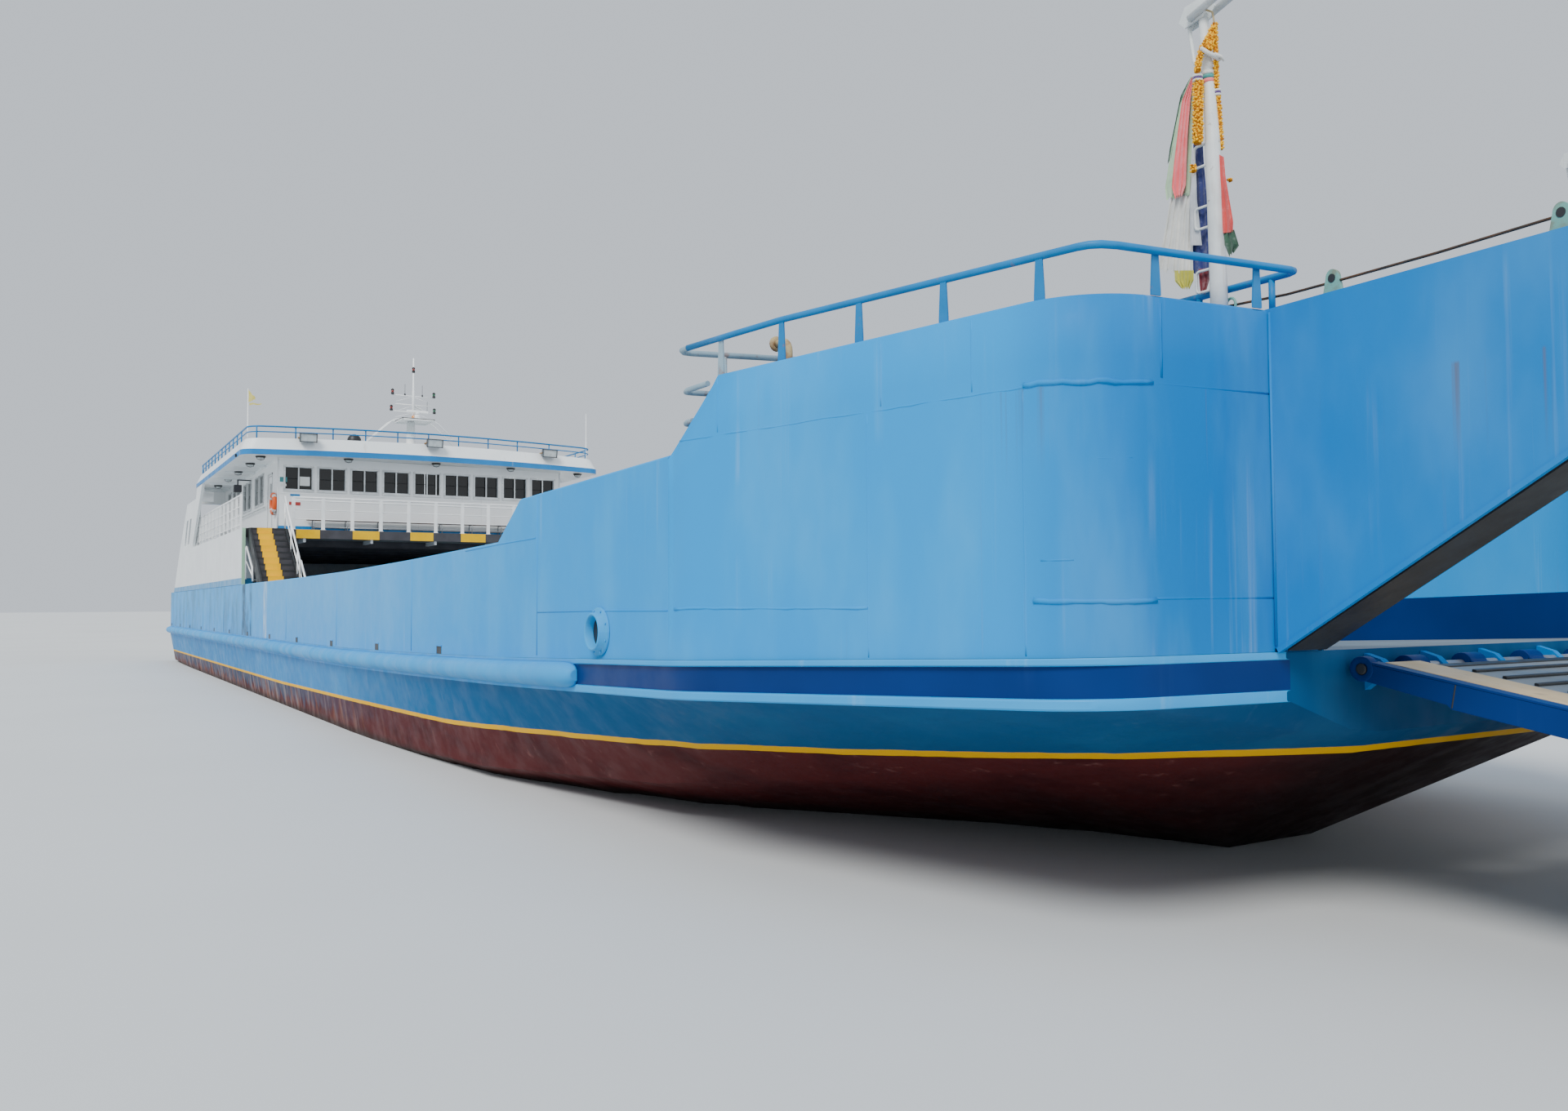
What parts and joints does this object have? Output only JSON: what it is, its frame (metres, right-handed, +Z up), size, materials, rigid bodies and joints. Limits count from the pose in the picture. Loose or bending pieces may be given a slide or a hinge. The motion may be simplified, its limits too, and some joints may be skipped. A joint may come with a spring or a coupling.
{
  "type": "1:2 scale model of a bow-ramp vehicle and passenger ferry",
  "caption": "Half-size bow-ramp ferry: blue flat-sided hull with raised bow boxes and horns beside a lowered ramp, open car deck and a white deckhouse aft.",
  "frame": {"origin": "amidships on the centre line, at the waterline", "axes": "+X forward over the bow ramp, +Y to port, +Z up"},
  "size_m": [33.5415, 6.2618, 6.625],
  "materials": {
    "hull_paint": "light blue gloss paint, a little weathered",
    "fender_paint": "light blue gloss paint with rubbed edges",
    "rail_paint": "light blue gloss paint",
    "white_paint": "white gloss paint with light rust streaks",
    "white_rail_paint": "white gloss paint",
    "door_paint": "off-white gloss paint",
    "deck_paint": "charcoal deck paint",
    "stair_paint": "charcoal deck paint with a yellow stripe",
    "ramp_paint": "dark blue paint below, grey tread plates above",
    "black_paint": "black satin paint",
    "flag_staff_paint": "white paint",
    "bottom_paint": "brown-red antifouling paint",
    "window_glass": "dark tinted glass",
    "seat_plastic": "dull red moulded plastic",
    "console_plastic": "dark grey moulded plastic",
    "white_plastic": "white moulded plastic",
    "raft_plastic": "white moulded plastic",
    "life_ring_plastic": "orange moulded plastic",
    "lamp_aluminium": "bare cast aluminium",
    "propeller_bronze": "polished bronze",
    "garland_flowers": "threaded orange and yellow flower heads",
    "ribbon_cloth": "thin coloured ribbons of cloth"
  },
  "bodies": {
    "ship": {"hull": "hull_paint", "stern_bulwark": "hull_paint", "passenger_deck": "deck_paint", "aft_bulkhead": "white_paint", "cabin_front": "white_paint", "aft_house_front": "white_paint", "front_glass": "window_glass", "roof": "white_paint", "roof_rail": "rail_paint", "front_rail": "white_rail_paint", "aft_rail": "white_rail_paint", "bench": "seat_plastic", "seats": "seat_plastic", "steering_console": "console_plastic", "signal_mast": "white_paint", "dome_vent": "black_paint", "floodlight_starboard": "lamp_aluminium", "floodlight_middle": "lamp_aluminium", "floodlight_port": "lamp_aluminium", "garland": "garland_flowers", "ribbons": "ribbon_cloth", "flag_staff_starboard": "flag_staff_paint", "flag_staff_port": "flag_staff_paint", "fender_starboard": "fender_paint", "fender_port": "fender_paint", "bulwark_starboard": "hull_paint", "bulwark_port": "hull_paint", "bow_box_starboard": "hull_paint", "bow_box_port": "hull_paint", "bow_rail_starboard": "rail_paint", "bow_rail_port": "rail_paint", "bow_post_starboard": "white_paint", "bow_post_port": "white_paint", "casing_starboard": "white_paint", "casing_port": "white_paint", "cabin_side_starboard": "white_paint", "cabin_side_port": "white_paint", "side_glass_starboard": "window_glass", "side_glass_port": "window_glass", "side_rail_starboard": "white_rail_paint", "side_rail_port": "white_rail_paint", "stair_starboard": "stair_paint", "stair_port": "stair_paint", "life_ring_starboard": "life_ring_plastic", "life_ring_port": "life_ring_plastic", "funnel_starboard": "white_paint", "funnel_port": "white_paint", "liferaft_starboard": "raft_plastic", "liferaft_port": "raft_plastic"},
    "ramp": {"ramp": "ramp_paint"},
    "radar_scanner": {"radar_scanner": "white_plastic"},
    "cabin_door_starboard": {"cabin_door_starboard": "door_paint"},
    "stern_door_starboard": {"stern_door_starboard": "door_paint"},
    "propeller_starboard": {"propeller_starboard": "propeller_bronze"},
    "rudder_starboard": {"rudder_starboard": "bottom_paint"},
    "cabin_door_port": {"cabin_door_port": "door_paint"},
    "stern_door_port": {"stern_door_port": "door_paint"},
    "propeller_port": {"propeller_port": "propeller_bronze"},
    "rudder_port": {"rudder_port": "bottom_paint"}
  },
  "joints": [
    {"name": "ramp_hinge", "type": "hinge", "parent": "ship", "child": "ramp", "pos_m": [15.07, 0, 1.025], "axis": [0, -1, 0], "range_deg": [-6, 80]},
    {"name": "radar_turn", "type": "hinge", "parent": "ship", "child": "radar_scanner", "pos_m": [-3.715, 0, 4.75], "axis": [0, 0, 1], "continuous": true},
    {"name": "cabin_door_starboard_hinge", "type": "hinge", "parent": "ship", "child": "cabin_door_starboard", "pos_m": [-3.615, -2.4, 3.04], "axis": [0, 0, 1], "range_deg": [0, 90]},
    {"name": "stern_door_starboard_hinge", "type": "hinge", "parent": "ship", "child": "stern_door_starboard", "pos_m": [-11.6, -1.885, 1.435], "axis": [0, 0, 1], "range_deg": [0, 90]},
    {"name": "propeller_starboard_turn", "type": "hinge", "parent": "ship", "child": "propeller_starboard", "pos_m": [-13.15, -1.3, -0.56], "axis": [1, 0, 0], "continuous": true},
    {"name": "rudder_starboard_turn", "type": "hinge", "parent": "ship", "child": "rudder_starboard", "pos_m": [-13.75, -1.3, -0.45], "axis": [0, 0, 1], "range_deg": [-35, 35]},
    {"name": "cabin_door_port_hinge", "type": "hinge", "parent": "ship", "child": "cabin_door_port", "pos_m": [-3.615, 2.4, 3.04], "axis": [0, 0, -1], "range_deg": [0, 90]},
    {"name": "stern_door_port_hinge", "type": "hinge", "parent": "ship", "child": "stern_door_port", "pos_m": [-11.6, 1.885, 1.435], "axis": [0, 0, -1], "range_deg": [0, 90]},
    {"name": "propeller_port_turn", "type": "hinge", "parent": "ship", "child": "propeller_port", "pos_m": [-13.15, 1.3, -0.56], "axis": [1, 0, 0], "continuous": true},
    {"name": "rudder_port_turn", "type": "hinge", "parent": "ship", "child": "rudder_port", "pos_m": [-13.75, 1.3, -0.45], "axis": [0, 0, 1], "range_deg": [-35, 35]}
  ],
  "couplings": [
    {"joint": "rudder_port_turn", "follows": "rudder_starboard_turn", "ratio": 1}
  ]
}
